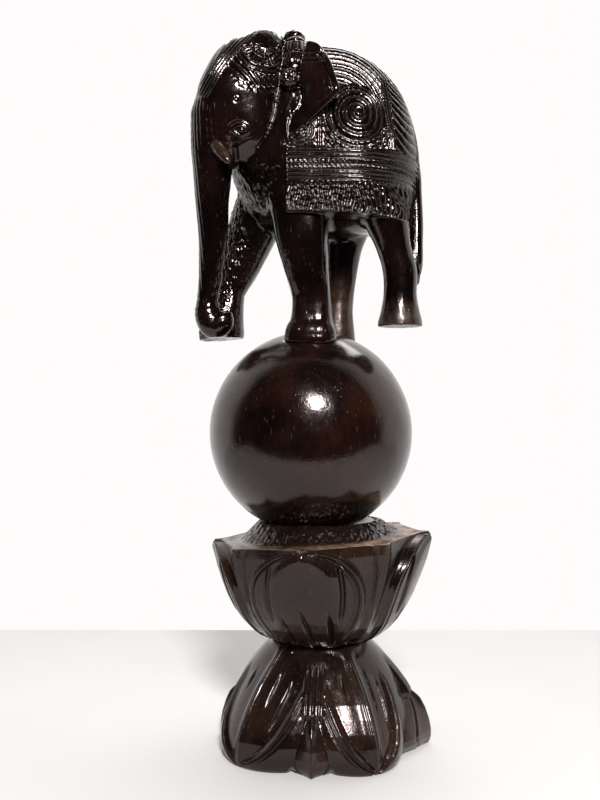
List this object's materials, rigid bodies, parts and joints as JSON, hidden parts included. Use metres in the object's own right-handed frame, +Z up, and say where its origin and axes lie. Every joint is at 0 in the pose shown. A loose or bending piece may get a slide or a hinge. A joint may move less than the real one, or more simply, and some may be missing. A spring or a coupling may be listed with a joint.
{
  "type": "carved elephant figurine",
  "caption": "Carved dark wooden elephant in a ceremonial cloth, balancing on a ball that is bedded in a double lotus pedestal.",
  "frame": {"origin": "centre of the pedestal's flat underside, on the lotus flowers' axis", "axes": "+Z up along the statue's height; the elephant faces -X and its left side faces -Y"},
  "size_m": [0.1027, 0.097, 0.3008],
  "materials": {
    "lotus_wood": "carved, stained near black and lacquered",
    "ball_wood": "turned, stained dark red brown and lacquered",
    "elephant_wood": "carved, stained dark brown and lacquered",
    "tusk_wood": "worn stain over brown wood",
    "dowel_wood": "plain, hidden"
  },
  "bodies": {
    "root": {"lower_lotus": "lotus_wood", "upper_lotus": "lotus_wood", "ball": "ball_wood", "elephant": "elephant_wood", "left_tusk": "tusk_wood", "right_tusk": "tusk_wood", "waist_dowel": "dowel_wood", "ball_dowel": "dowel_wood", "front_foot_dowel": "dowel_wood", "hind_foot_dowel": "dowel_wood"}
  },
  "joints": []
}
